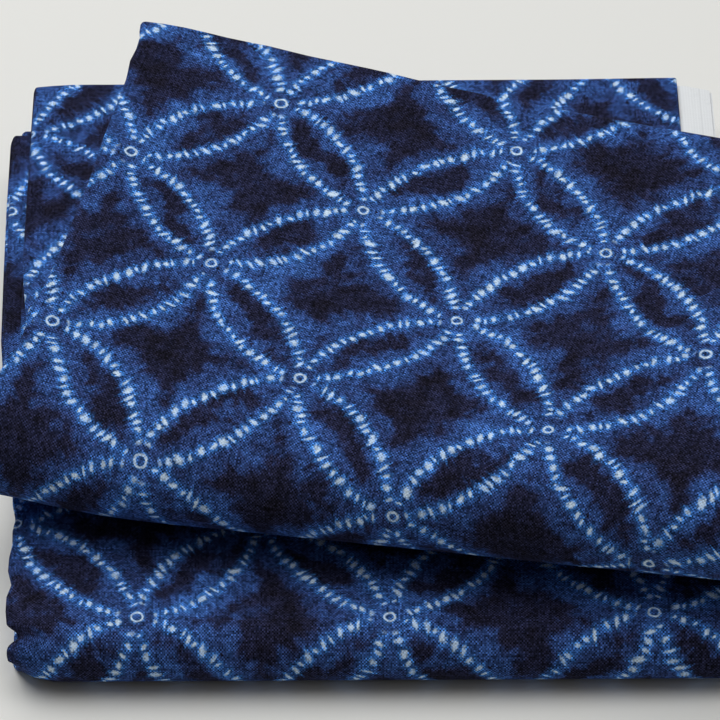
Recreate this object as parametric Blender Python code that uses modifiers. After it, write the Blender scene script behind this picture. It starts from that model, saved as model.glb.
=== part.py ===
"""A long dyed cotton cloth, folded lengthways in four and then back and forth in two packs.

The strip of four plies is one solid. It starts inside the lower pack, wraps that pack at the
front, turns at the back, runs forward again and wraps a second pack that is turned on top of it.
Every number is in metres, X to the right, Y away from the front fold, Z up.
"""
import bpy
import bmesh
import numpy as np

NAME = "folded_cloth"

# The strip
LEAF = 0.0030             # thickness of a leaf, which is four plies of the cloth
LIP = 0.0140              # how far the undyed woven edges stick out on the right
LIP_SHARE = 0.5           # the lip is two plies of the four
LIP_STEP = 0.0003         # the leaf thins down to the lip over this width
EDGE_SHARE = 0.55         # the leaf is thinner at its rounded outer fold
EDGE_ROUND = 0.0012       # width of that rounding

# The two packs: the middle of each one's back line, and how far each is turned
LOWER_PLACE = (-0.0276, 0.1493)
LOWER_TURN = np.radians(0.4)
UPPER_PLACE = (0.0230, 0.0909)
UPPER_TURN = np.radians(-15.6)
LOWER_PITCH = 0.0038      # from one leaf to the next in the lower pack
UPPER_PITCH = 0.0041

# Leaves are counted from the table up
BOTTOM_LEAF = 0
LOWER_WRAP = 6            # this leaf comes round the lower pack's front
SHARED_LEAF = 7           # the lower pack's top and the upper pack's bottom
TOP_LEAF = 18
SHARED_TURN_FROM = 0.55   # the shared leaf leaves the lower pack's lines at this share of its length

# The front of the upper pack, where the top leaf droops and turns under
FRONT_SKEW = -0.128       # the front line isn't square to the pack
CORNER_DROP = 0.0055      # its left end falls back a little
CORNER_WIDE = 0.0340
INNER_SKEW = -0.030       # the folds behind it are closer to square
INNER_REACH = 0.021       # the leaves aren't pressed together further forward than this
DROOP_LENGTH = 0.0329     # along the cloth, before the tighter turn begins
DROOP_TURN = np.radians(47.5)
NOSE_RADIUS = 0.0183
NOSE_TURN = np.radians(150.0)

# A row for each leaf, from the table up, in its pack's own lines: across to the right from the
# middle, along to the front from the back line. left and right are the leaf's edges, at its
# back and its front, and back and front are where its level part starts and ends.
LEAF_COLUMNS = ("left_back", "left_front", "right_back", "right_front", "back", "front")
LEAF_ROWS = (
    (-0.1262, -0.1262, 0.1255, 0.1262, 0.0110, 0.2856),
    (-0.1285, -0.1250, 0.1262, 0.1250, 0.0110, 0.2790),
    (-0.1300, -0.1268, 0.1240, 0.1268, 0.0170, 0.2790),
    (-0.1335, -0.1270, 0.1225, 0.1262, 0.0170, 0.2812),
    (-0.1372, -0.1262, 0.1238, 0.1250, 0.0305, 0.2812),
    (-0.1358, -0.1258, 0.1250, 0.1262, 0.0305, 0.2780),
    (-0.1288, -0.1250, 0.1272, 0.1270, 0.0036, 0.2856),
    (-0.1282, -0.1340, 0.1278, 0.1340, 0.0036, 0.1480),
    (-0.1330, -0.1322, 0.1345, 0.1335, 0.0060, 0.1700),
    (-0.1348, -0.1335, 0.1330, 0.1322, 0.0085, 0.1700),
    (-0.1340, -0.1350, 0.1318, 0.1335, 0.0085, 0.1800),
    (-0.1325, -0.1342, 0.1340, 0.1350, 0.0052, 0.1800),
    (-0.1345, -0.1325, 0.1352, 0.1338, 0.0052, 0.1890),
    (-0.1358, -0.1340, 0.1335, 0.1320, 0.0095, 0.1890),
    (-0.1338, -0.1352, 0.1322, 0.1332, 0.0095, 0.1815),
    (-0.1328, -0.1340, 0.1338, 0.1345, 0.0066, 0.1815),
    (-0.1342, -0.1330, 0.1350, 0.1340, 0.0066, 0.1725),
    (-0.1352, -0.1338, 0.1340, 0.1330, 0.0036, 0.1725),
    (-0.1368, -0.1335, 0.1335, 0.1340, 0.0036, 0.1767),
)
# The leaves in the order in which the strip runs through them, from its hidden end
ORDER = (5, 4, 3, 2, 1, 0, 6, 7, 18, 17, 16, 15, 14, 13, 12, 11, 10, 9, 8)

# Soft swells and dips of each pack's top, which fade out towards its bottom. The folded edges
# of the plies build up at the sides, and the middle sinks between them.
SWELL_COLUMNS = ("across", "along", "height", "wide", "long")
LOWER_SWELLS = (
    (-0.128, 0.080, 0.0012, 0.030, 0.120),
    (0.128, 0.120, 0.0014, 0.032, 0.140),
)
UPPER_SWELLS = (
    (-0.136, 0.060, 0.0060, 0.026, 0.120),
    (0.134, 0.085, 0.0065, 0.028, 0.090),
    (0.005, 0.095, -0.0033, 0.055, 0.062),
    (-0.090, 0.228, -0.0052, 0.095, 0.052),
)

# The small puckers of the outer leaf's left edge, where it wraps the lower pack's front
PUCKER = 0.0011
PUCKER_LENGTH = 0.0102
PUCKER_FROM = 0.2350      # they start this far along the lower pack

# How finely each stretch is divided
MIDDLE_COLUMNS = (0.09, 0.29, 0.5, 0.71, 0.91)
TIGHT_FOLD_STEPS = 6
WIDE_FOLD_STEPS = 14
PLAIN_LEAF_STEPS = 5
LONG_LEAF_STEPS = {LOWER_WRAP: 22, SHARED_LEAF: 12, TOP_LEAF: 14}
DROOP_STEPS = 8
NOSE_STEPS = 13
UNDER_STEPS = 8
FINE_STEPS = 200          # for adding up the droop


def ease(t):
    """A smooth step from 0 to 1."""
    t = np.clip(t, 0.0, 1.0)
    return t * t * (3.0 - 2.0 * t)


def leaf_size(leaf, name):
    """One named size of a leaf, from its row."""
    return LEAF_ROWS[leaf][LEAF_COLUMNS.index(name)]


def leaf_height(leaf):
    """The middle height of a leaf before the packs settle."""
    lower = min(leaf, SHARED_LEAF) * LOWER_PITCH
    upper = max(leaf - SHARED_LEAF, 0) * UPPER_PITCH
    return LEAF / 2 + lower + upper


def plan_point(across, along, upper):
    """The plan place of a point that is given in the lower or the upper pack's lines."""
    corner, turn = (UPPER_PLACE, UPPER_TURN) if upper else (LOWER_PLACE, LOWER_TURN)
    x = corner[0] + across * np.cos(turn) + along * np.sin(turn)
    y = corner[1] + across * np.sin(turn) - along * np.cos(turn)
    return np.stack([x, y], axis=-1)


def pack_lines(xy, upper):
    """The across and along of a plan place, in the lower or the upper pack's lines."""
    corner, turn = (UPPER_PLACE, UPPER_TURN) if upper else (LOWER_PLACE, LOWER_TURN)
    dx = xy[..., 0] - corner[0]
    dy = xy[..., 1] - corner[1]
    across = dx * np.cos(turn) + dy * np.sin(turn)
    along = dx * np.sin(turn) - dy * np.cos(turn)
    return across, along


def droop_profile():
    """How far forward and down the top leaf has gone, at each step of its droop."""
    turn = DROOP_TURN * np.linspace(0.0, 1.0, FINE_STEPS + 1)[1:] ** 2
    forward = np.cumsum(np.cos(turn)) * DROOP_LENGTH / FINE_STEPS
    down = np.cumsum(np.sin(turn)) * DROOP_LENGTH / FINE_STEPS
    picked = FINE_STEPS // DROOP_STEPS * np.arange(1, DROOP_STEPS + 1) - 1
    return [(forward[i], down[i]) for i in picked]


def nose_profile(start):
    """The same for the round turn that follows, down to the underside."""
    profile = []
    for turn in np.linspace(DROOP_TURN, NOSE_TURN, NOSE_STEPS + 1)[1:]:
        forward = start[0] + NOSE_RADIUS * (np.sin(turn) - np.sin(DROOP_TURN))
        down = start[1] + NOSE_RADIUS * (np.cos(DROOP_TURN) - np.cos(turn))
        profile.append((forward, down))
    return profile


DROOP = droop_profile()
NOSE = nose_profile(DROOP[-1])
UPPER_DEPTH = leaf_height(TOP_LEAF) - leaf_height(SHARED_LEAF)
TURN_AHEAD = NOSE_RADIUS * (1.0 - np.sin(DROOP_TURN))
DROOP_AHEAD = DROOP[-1][0] + TURN_AHEAD      # the droop starts this far behind the front
DROOP_DOWN = DROOP[-1][1]
UPPER_FRONT = leaf_size(TOP_LEAF, "front") + DROOP_AHEAD
UNDER_BEHIND = DROOP_AHEAD - NOSE[-1][0]     # the round turn ends this far behind the front
UNDER_LIFT = UPPER_DEPTH - NOSE[-1][1]       # and this high above the shared leaf
UNDER_LENGTH = UPPER_FRONT - UNDER_BEHIND - leaf_size(SHARED_LEAF, "front")


def front_line(across):
    """How far along the upper pack its front lies."""
    from_left = across - leaf_size(TOP_LEAF, "left_front")
    corner = CORNER_DROP * np.exp(-(from_left / CORNER_WIDE) ** 2)
    return UPPER_FRONT + FRONT_SKEW * across - corner


def under_end(across):
    """Where the underside of the turn has come down to the lower pack."""
    return front_line(across) - UNDER_BEHIND - UNDER_LENGTH


def front_sink(behind):
    """How far the upper pack's top droops at a distance behind its front."""
    share = np.clip((DROOP_AHEAD - behind) / (DROOP_AHEAD - TURN_AHEAD), 0.0, 1.0)
    return DROOP_DOWN * share ** 3


def front_lift(behind):
    """How far the upper pack's underside is lifted at a distance behind its front."""
    return UNDER_LIFT * (1.0 - ease((behind - UNDER_BEHIND) / UNDER_LENGTH))


def pucker(along):
    """The small in and out of the left edge at the lower pack's front."""
    if along < PUCKER_FROM:
        return 0.0
    return PUCKER * np.sin(2.0 * np.pi * (along - PUCKER_FROM) / PUCKER_LENGTH)


def strip_columns():
    """Each column of the strip: its share of the leaf's width, how far it stands to the right
    of that place, and its share of the leaf's thickness."""
    left = [(0.0, 0.0, EDGE_SHARE), (0.0, EDGE_ROUND, 1.0)]
    middle = [(share, 0.0, 1.0) for share in MIDDLE_COLUMNS]
    right = [(1.0, -EDGE_ROUND, 1.0), (1.0, LIP_STEP, LIP_SHARE), (1.0, LIP, LIP_SHARE)]
    return np.array(left + middle + right).T


WIDTH_SHARE, TO_THE_RIGHT, THICKNESS_SHARE = strip_columns()
IS_LIP = (WIDTH_SHARE == 1.0) & (TO_THE_RIGHT > 0.0)


def across_of(left, right):
    """Where every column lies between a leaf's two edges."""
    return left + (right - left) * WIDTH_SHARE + TO_THE_RIGHT


def leaf_row(leaf, share):
    """A row of points across a leaf, at a share of the way from its back to its front."""
    if leaf == SHARED_LEAF:
        return shared_leaf_row(share)
    back, front = leaf_size(leaf, "back"), leaf_size(leaf, "front")
    left = np.interp(ease(share), (0, 1), (leaf_size(leaf, "left_back"), leaf_size(leaf, "left_front")))
    right = np.interp(ease(share), (0, 1), (leaf_size(leaf, "right_back"), leaf_size(leaf, "right_front")))
    if leaf in (BOTTOM_LEAF, LOWER_WRAP):
        left += pucker(back + (front - back) * share)
    across = across_of(left, right)
    z = np.full(across.shape, leaf_height(leaf))
    if leaf < SHARED_LEAF:
        along = np.full(across.shape, back + (front - back) * share)
    elif leaf == TOP_LEAF:
        along = back + (front_line(across) - DROOP_AHEAD - back) * share
    else:
        along = back + (front + INNER_SKEW * across - back) * share
        behind = np.maximum(front_line(across) - along, INNER_REACH)
        height = (leaf - SHARED_LEAF) / (TOP_LEAF - SHARED_LEAF)
        z += front_lift(behind) * (1.0 - height) - front_sink(behind) * height
    return np.column_stack([plan_point(across, along, leaf > SHARED_LEAF), z])


def shared_leaf_row(share):
    """A row of the leaf that leaves the lower pack's lines for the upper one's."""
    low = across_of(leaf_size(SHARED_LEAF, "left_back"), leaf_size(SHARED_LEAF, "right_back"))
    high = across_of(leaf_size(SHARED_LEAF, "left_front"), leaf_size(SHARED_LEAF, "right_front"))
    end = plan_point(high, under_end(high), True)
    end_along = pack_lines(end, False)[1]
    back = leaf_size(SHARED_LEAF, "back")
    straight = plan_point(low, back + (end_along - back) * share, False)
    turned = ease((share - SHARED_TURN_FROM) / (1.0 - SHARED_TURN_FROM))
    xy = straight + (end - plan_point(low, end_along, False)) * turned
    return np.column_stack([xy, np.full(low.shape, leaf_height(SHARED_LEAF))])


def round_fold(first, second, outward, steps, puckered):
    """Rows round a fold, from the end of one leaf to the start of the next."""
    middle = (first + second) / 2.0
    half = (first - second) / 2.0
    radius = np.linalg.norm(half, axis=1, keepdims=True)
    rows = []
    for angle in np.linspace(0.0, np.pi, steps + 1)[1:-1]:
        row = middle + half * np.cos(angle) + outward * radius * np.sin(angle)
        if puckered:
            row[:2, 0] += pucker(PUCKER_FROM + angle * radius[0, 0])
        rows.append(row)
    return rows


def nose_rows():
    """Rows round the upper pack's front, from its underside up to where the top leaf is level."""
    across = across_of(leaf_size(TOP_LEAF, "left_front"), leaf_size(TOP_LEAF, "right_front"))
    rows = []
    for share in np.linspace(0.0, 1.0, UNDER_STEPS + 1)[1:]:
        along = under_end(across) + UNDER_LENGTH * share
        z = leaf_height(SHARED_LEAF) + front_lift(front_line(across) - along)
        rows.append(np.column_stack([plan_point(across, along, True), z]))
    for forward, down in (DROOP + NOSE[:-1])[::-1]:
        along = front_line(across) - DROOP_AHEAD + forward
        z = np.full(across.shape, leaf_height(TOP_LEAF) - down)
        rows.append(np.column_stack([plan_point(across, along, True), z]))
    return rows


def fold_rows(leaf, following, forward):
    """The rows between two leaves that follow each other."""
    if (leaf, following) == (SHARED_LEAF, TOP_LEAF):
        return nose_rows()
    at = 1.0 if forward else 0.0
    first = leaf_row(leaf, at)
    second = leaf_row(following, at)
    turn = UPPER_TURN if min(leaf, following) > SHARED_LEAF else LOWER_TURN
    to_front = np.array([np.sin(turn), -np.cos(turn), 0.0])
    outward = to_front if forward else -to_front
    wide = (leaf, following) == (BOTTOM_LEAF, LOWER_WRAP)
    steps = WIDE_FOLD_STEPS if wide else TIGHT_FOLD_STEPS
    return round_fold(first, second, outward, steps, wide)


def strip_rows():
    """Every row of the strip, from its hidden start to its hidden end."""
    rows = []
    forward = False
    for leaf, following in zip(ORDER, ORDER[1:] + (None,)):
        steps = LONG_LEAF_STEPS.get(leaf, PLAIN_LEAF_STEPS)
        shares = np.linspace(0.0, 1.0, steps + 1)
        if leaf == LOWER_WRAP:
            shares = 1.0 - (1.0 - shares) ** 2
        rows += [leaf_row(leaf, share) for share in (shares if forward else shares[::-1])]
        if following is not None:
            rows += fold_rows(leaf, following, forward)
        forward = not forward
    return np.array(rows)


def swell(xy, upper, rows):
    """The height of a pack's soft swells at plan places."""
    across, along = pack_lines(xy, upper)
    height = np.zeros(across.shape)
    for row in rows:
        size = dict(zip(SWELL_COLUMNS, row))
        aside = (across - size["across"]) / size["wide"]
        ahead = (along - size["along"]) / size["long"]
        height += size["height"] * np.exp(-aside ** 2 - ahead ** 2)
    return height


def settle(points):
    """Raise or lower points by the swells of the packs, less and less towards each bottom."""
    xy = points[..., :2]
    z = points[..., 2]
    lower_depth = leaf_height(SHARED_LEAF) - leaf_height(BOTTOM_LEAF)
    low_share = np.clip((z - leaf_height(BOTTOM_LEAF)) / lower_depth, 0.0, 1.0)
    high_share = np.clip((z - leaf_height(SHARED_LEAF)) / UPPER_DEPTH, 0.0, 1.0)
    settled = points.copy()
    settled[..., 2] += swell(xy, False, LOWER_SWELLS) * low_share
    settled[..., 2] += swell(xy, True, UPPER_SWELLS) * high_share
    return settled


def outer_normals(points):
    """The direction out of the strip's outer side at every point."""
    along = np.gradient(points, axis=0)
    across = np.gradient(points, axis=1)
    normals = np.cross(across, along)
    return normals / np.linalg.norm(normals, axis=2, keepdims=True)


def strip_points():
    """The middle of the strip's thickness, with the lip moved to the side of its two plies."""
    points = settle(strip_rows())
    normals = outer_normals(points)
    points[:, IS_LIP] += normals[:, IS_LIP] * LEAF * (1.0 - LIP_SHARE) / 2.0
    return points


def cotton_material():
    """Indigo dyed cotton."""
    material = bpy.data.materials.new("indigo_cotton")
    material.use_nodes = True
    shader = material.node_tree.nodes["Principled BSDF"]
    shader.inputs["Base Color"].default_value = (0.015, 0.04, 0.17, 1.0)
    shader.inputs["Roughness"].default_value = 0.85
    shader.inputs["Metallic"].default_value = 0.0
    return material


def strip_mesh():
    """A flat grid, laid along the folds, with each point's share of the thickness."""
    points = strip_points()
    last_row, last_column = points.shape[0] - 1, points.shape[1] - 1
    grid = bmesh.new()
    bmesh.ops.create_grid(grid, x_segments=last_column, y_segments=last_row, size=1.0)
    thickness = grid.verts.layers.deform.verify()
    for vertex in grid.verts:
        column = round((vertex.co.x + 1.0) / 2.0 * last_column)
        row = round((vertex.co.y + 1.0) / 2.0 * last_row)
        vertex.co = points[row, column]
        vertex[thickness][0] = THICKNESS_SHARE[column]
    mesh = bpy.data.meshes.new(NAME)
    grid.to_mesh(mesh)
    grid.free()
    mesh.materials.append(cotton_material())
    mesh.shade_smooth()
    return mesh


def build_cloth(collection):
    """The folded strip with its thickness."""
    cloth = bpy.data.objects.new(NAME, strip_mesh())
    collection.objects.link(cloth)
    cloth.vertex_groups.new(name="thickness")
    shell = cloth.modifiers.new("Thickness", "SOLIDIFY")
    shell.thickness = LEAF
    shell.offset = 0.0
    shell.vertex_group = "thickness"


def main():
    for old in list(bpy.data.objects):
        bpy.data.objects.remove(old, do_unlink=True)
    collection = bpy.data.collections.new("folded dyed cloth")
    bpy.context.scene.collection.children.link(collection)
    build_cloth(collection)


main()
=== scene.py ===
# %% [markdown]
# # A folded length of indigo cotton
#
# The object is one length of thin cotton, a little over a metre wide and about four metres
# long. It is folded lengthways in four, so that it makes a strip of four plies, and the strip
# is then folded back and forth into two flat packs, the upper one turned on the lower one.
# We load the solid model first. Its one solid is that strip, 3 mm thick, and the cloth that
# we make here takes its place, ply by ply.

# %% Load the solid model
import bpy
import numpy as np
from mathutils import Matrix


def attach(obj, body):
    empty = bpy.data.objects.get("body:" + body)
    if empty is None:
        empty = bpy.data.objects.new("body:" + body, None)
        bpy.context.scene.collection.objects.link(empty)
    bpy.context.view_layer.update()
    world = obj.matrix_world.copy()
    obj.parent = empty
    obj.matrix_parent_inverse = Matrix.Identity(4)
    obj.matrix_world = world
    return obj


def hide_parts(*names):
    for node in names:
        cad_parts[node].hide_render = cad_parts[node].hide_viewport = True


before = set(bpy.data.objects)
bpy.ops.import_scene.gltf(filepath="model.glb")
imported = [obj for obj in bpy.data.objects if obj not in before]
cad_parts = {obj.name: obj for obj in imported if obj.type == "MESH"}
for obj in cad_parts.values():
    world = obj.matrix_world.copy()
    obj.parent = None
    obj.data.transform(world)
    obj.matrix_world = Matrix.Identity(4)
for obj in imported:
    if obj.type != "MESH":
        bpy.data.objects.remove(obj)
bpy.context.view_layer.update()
bpy.context.scene.view_settings.view_transform = "Standard"

# %% [markdown]
# ## The camera
#
# The photograph looks down at the front of the cloth at 45 degrees, through a long lens, so
# that lines which run away from us hardly close up. A camera that is aimed by a direction is
# easier to adjust than one turned by three angles, so its back is pointed with to_track_quat.

# %% Camera
from mathutils import Vector

CAMERA_TILT = np.radians(45.3)
CAMERA_TARGET = Vector((-0.0260, -0.0548, 0.0749))
CAMERA_DISTANCE = 1.62

camera = bpy.data.objects.new("camera", bpy.data.cameras.new("camera"))
bpy.context.scene.collection.objects.link(camera)
camera_back = Vector((0.0, -np.cos(CAMERA_TILT), np.sin(CAMERA_TILT)))
camera.location = CAMERA_TARGET + camera_back * CAMERA_DISTANCE
camera.rotation_euler = camera_back.to_track_quat("Z", "Y").to_euler()
camera.data.sensor_width = 36.0
camera.data.lens = 225.0
bpy.context.scene.camera = camera
print("camera at", [round(c, 3) for c in camera.location])

# %% [markdown]
# ## The leaves
#
# One layer of the folded strip is called a leaf here. There are nineteen, counted from the
# table up, and a row of the table gives where each one's four edges lie in its own pack. The
# packs aren't square or even, because the cloth was folded by hand. The same sizes are in the
# solid model, and a cloth that is placed by such a table keeps to its solid on every side.

# %% Sizes of the leaves and the packs
LEAF = 0.0030
LIP = 0.0140              # the woven edges stick out this far on the right
LOWER_PLACE, LOWER_TURN = (-0.0276, 0.1493), np.radians(0.4)
UPPER_PLACE, UPPER_TURN = (0.0230, 0.0909), np.radians(-15.6)
LOWER_PITCH, UPPER_PITCH = 0.0038, 0.0041
BOTTOM_LEAF, LOWER_WRAP, SHARED_LEAF, TOP_LEAF = 0, 6, 7, 18
SHARED_TURN_FROM = 0.55

LEAF_COLUMNS = ("left_back", "left_front", "right_back", "right_front", "back", "front")
LEAF_ROWS = (
    (-0.1262, -0.1252, 0.1255, 0.1312, 0.0110, 0.2856),
    (-0.1285, -0.1250, 0.1262, 0.1250, 0.0110, 0.2790),
    (-0.1300, -0.1268, 0.1240, 0.1268, 0.0170, 0.2790),
    (-0.1335, -0.1270, 0.1225, 0.1262, 0.0170, 0.2812),
    (-0.1372, -0.1262, 0.1238, 0.1250, 0.0275, 0.2812),
    (-0.1358, -0.1258, 0.1250, 0.1262, 0.0275, 0.2780),
    (-0.1288, -0.1266, 0.1272, 0.1320, 0.0036, 0.2856),
    (-0.1282, -0.1340, 0.1278, 0.1340, 0.0036, 0.1480),
    (-0.1330, -0.1322, 0.1345, 0.1335, 0.0060, 0.1700),
    (-0.1348, -0.1335, 0.1330, 0.1322, 0.0085, 0.1700),
    (-0.1340, -0.1350, 0.1318, 0.1335, 0.0085, 0.1800),
    (-0.1325, -0.1342, 0.1340, 0.1350, 0.0052, 0.1800),
    (-0.1345, -0.1325, 0.1352, 0.1338, 0.0052, 0.1890),
    (-0.1358, -0.1340, 0.1335, 0.1320, 0.0095, 0.1890),
    (-0.1338, -0.1352, 0.1322, 0.1332, 0.0095, 0.1815),
    (-0.1328, -0.1340, 0.1338, 0.1345, 0.0066, 0.1815),
    (-0.1342, -0.1330, 0.1350, 0.1340, 0.0066, 0.1725),
    (-0.1352, -0.1338, 0.1340, 0.1330, 0.0036, 0.1725),
    (-0.1368, -0.1335, 0.1335, 0.1375, 0.0036, 0.1767),
)
ORDER = (5, 4, 3, 2, 1, 0, 6, 7, 18, 17, 16, 15, 14, 13, 12, 11, 10, 9, 8)


def leaf_size(leaf, name):
    """One named size of a leaf, from its row."""
    return LEAF_ROWS[leaf][LEAF_COLUMNS.index(name)]


def leaf_height(leaf):
    """The middle height of a leaf before the packs settle."""
    lower = min(leaf, SHARED_LEAF) * LOWER_PITCH
    upper = max(leaf - SHARED_LEAF, 0) * UPPER_PITCH
    return LEAF / 2 + lower + upper


UPPER_DEPTH = leaf_height(TOP_LEAF) - leaf_height(SHARED_LEAF)
print(len(LEAF_ROWS), "leaves, the top one", round(leaf_height(TOP_LEAF) * 1000, 1), "mm up")

# %% [markdown]
# ## Two sets of lines
#
# Each pack has its own lines: across to the right from its middle, and along to the front
# from its back. Two small functions go from a pack's lines to the plan and back, so that
# everything else can be said in the lines of the pack it belongs to.

# %% Plan places


def plan_point(across, along, upper):
    """The plan place of a point that is given in the lower or the upper pack's lines."""
    corner, turn = (UPPER_PLACE, UPPER_TURN) if upper else (LOWER_PLACE, LOWER_TURN)
    x = corner[0] + across * np.cos(turn) + along * np.sin(turn)
    y = corner[1] + across * np.sin(turn) - along * np.cos(turn)
    return np.stack([x, y], axis=-1)


def pack_lines(xy, upper):
    """The across and along of a plan place, in the lower or the upper pack's lines."""
    corner, turn = (UPPER_PLACE, UPPER_TURN) if upper else (LOWER_PLACE, LOWER_TURN)
    dx = xy[..., 0] - corner[0]
    dy = xy[..., 1] - corner[1]
    across = dx * np.cos(turn) + dy * np.sin(turn)
    along = dx * np.sin(turn) - dy * np.cos(turn)
    return across, along


def ease(t):
    """A smooth step from 0 to 1."""
    t = np.clip(t, 0.0, 1.0)
    return t * t * (3.0 - 2.0 * t)


# %% [markdown]
# ## Wandering edges
#
# The left edges aren't straight. The upper pack's runs in by five millimetres behind its front,
# its back edge bows out, and the lower leaves peep out beside the ones above them. Each list
# gives such a wander at a few places, and the edge between them is a straight run.

# %% Wanders of the edges, in millimetres
UPPER_LEFT_WANDER = ((0.002, -1.5), (0.0055, -1.2), (0.010, 0.6), (0.018, 1.5), (0.024, 1.2),
                     (0.034, 2.9), (0.049, 3.7), (0.069, 4.2), (0.090, 5.5), (0.121, 5.6),
                     (0.141, 5.0), (0.148, 4.1), (0.1535, 2.6), (0.160, 4.3), (0.1735, 4.4),
                     (0.179, 2.0), (0.186, 0.0))
LOWER_LEFT_WANDER = ((0.030, 0.0), (0.090, -0.8), (0.120, -2.6), (0.165, -3.0), (0.205, 3.0),
                     (0.290, 3.0))
INNER_LEFT_WANDER = ((0.150, 0.0), (0.205, 5.0), (0.290, 5.0))
UPPER_BACK_WANDER = ((-0.140, -0.6), (-0.130, 0.8), (-0.118, 2.6), (-0.100, 3.6), (-0.088, 4.0),
                     (-0.073, 2.8), (-0.043, 2.0), (-0.020, 0.2), (0.030, -0.8), (0.070, -2.0),
                     (0.140, -2.0))


def wander(places, at):
    """How far an edge wanders at places along it."""
    known, away = np.array(places).T
    return np.interp(at, known, away) / 1000.0


def left_wander(leaf, along):
    """How far to the right a leaf's left edge wanders."""
    if leaf > SHARED_LEAF:
        return wander(UPPER_LEFT_WANDER, along)
    if leaf in (4, 5):
        return wander(LOWER_LEFT_WANDER, along)
    if leaf in (1, 2, 3):
        return wander(INNER_LEFT_WANDER, along)
    return np.zeros(np.shape(along))


# %% [markdown]
# ## The big front fold of the upper pack
#
# At the front the strip comes up from the lower pack, turns round in the air and lies back
# over the upper pack, so it makes a soft nose with a dark hollow under it. Its profile is
# added up from small steps: first a droop that bends faster and faster, then a round turn.
# The front line isn't square to the pack, and its left end falls back a little.

# %% The nose's profile
FRONT_SKEW, CORNER_DROP, CORNER_WIDE = -0.128, 0.0055, 0.0340
INNER_SKEW, INNER_REACH = -0.030, 0.021
DROOP_LENGTH, DROOP_TURN = 0.0329, np.radians(47.5)
NOSE_RADIUS, NOSE_TURN = 0.0183, np.radians(150.0)
DROOP_STEPS, NOSE_STEPS, UNDER_STEPS = 14, 24, 14
FINE_STEPS = 20 * DROOP_STEPS


def droop_profile():
    """How far forward and down the top leaf has gone, at each step of its droop."""
    turn = DROOP_TURN * np.linspace(0.0, 1.0, FINE_STEPS + 1)[1:] ** 2
    forward = np.cumsum(np.cos(turn)) * DROOP_LENGTH / FINE_STEPS
    down = np.cumsum(np.sin(turn)) * DROOP_LENGTH / FINE_STEPS
    picked = FINE_STEPS // DROOP_STEPS * np.arange(1, DROOP_STEPS + 1) - 1
    return [(forward[i], down[i]) for i in picked]


def nose_profile(start):
    """The same for the round turn that follows, down to the underside."""
    profile = []
    for turn in np.linspace(DROOP_TURN, NOSE_TURN, NOSE_STEPS + 1)[1:]:
        forward = start[0] + NOSE_RADIUS * (np.sin(turn) - np.sin(DROOP_TURN))
        down = start[1] + NOSE_RADIUS * (np.cos(DROOP_TURN) - np.cos(turn))
        profile.append((forward, down))
    return profile


DROOP = droop_profile()
NOSE = nose_profile(DROOP[-1])
TURN_AHEAD = NOSE_RADIUS * (1.0 - np.sin(DROOP_TURN))
DROOP_AHEAD = DROOP[-1][0] + TURN_AHEAD
DROOP_DOWN = DROOP[-1][1]
UPPER_FRONT = leaf_size(TOP_LEAF, "front") + DROOP_AHEAD
UNDER_BEHIND = DROOP_AHEAD - NOSE[-1][0]
UNDER_LIFT = UPPER_DEPTH - NOSE[-1][1]
UNDER_LENGTH = UPPER_FRONT - UNDER_BEHIND - leaf_size(SHARED_LEAF, "front")


def front_line(across):
    """How far along the upper pack its front lies."""
    from_left = across - leaf_size(TOP_LEAF, "left_front")
    corner = CORNER_DROP * np.exp(-(from_left / CORNER_WIDE) ** 2)
    return UPPER_FRONT + FRONT_SKEW * across - corner


def under_end(across):
    """Where the underside of the turn has come down to the lower pack."""
    return front_line(across) - UNDER_BEHIND - UNDER_LENGTH


def front_sink(behind):
    """How far the upper pack's top droops at a distance behind its front."""
    share = np.clip((DROOP_AHEAD - behind) / (DROOP_AHEAD - TURN_AHEAD), 0.0, 1.0)
    return DROOP_DOWN * share ** 3


def front_lift(behind):
    """How far the upper pack's underside is lifted at a distance behind its front."""
    return UNDER_LIFT * (1.0 - ease((behind - UNDER_BEHIND) / UNDER_LENGTH))


print("the nose stands", round(DROOP_AHEAD * 1000, 1), "mm ahead of the level part")

# %% [markdown]
# ## Rows along the strip
#
# The strip is laid out as a long grid. A row is a line of points straight across the strip,
# halfway through its thickness, and the rows follow the strip from its hidden start to its
# hidden end, through every leaf and round every fold. Close rows are kept for the leaves and
# folds that show. A grid that is laid by a rule keeps the real length of the cloth, which
# cutting and bending a block would not.

# %% Rows of the strip
WIDTH_SHARES = np.linspace(-0.02, 1.08, 56)      # 0 is the leaf's left edge, 1 its right one
TIGHT_FOLD_STEPS, WIDE_FOLD_STEPS = 8, 34
LEAF_STEPS = {LOWER_WRAP: 44, SHARED_LEAF: 34, TOP_LEAF: 50, BOTTOM_LEAF: 20}
LOWER_LEAF_STEPS, UPPER_LEAF_STEPS = 7, 10


def across_of(left, right):
    """Where every column lies between a leaf's two edges."""
    return left + (right - left) * WIDTH_SHARES


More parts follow.
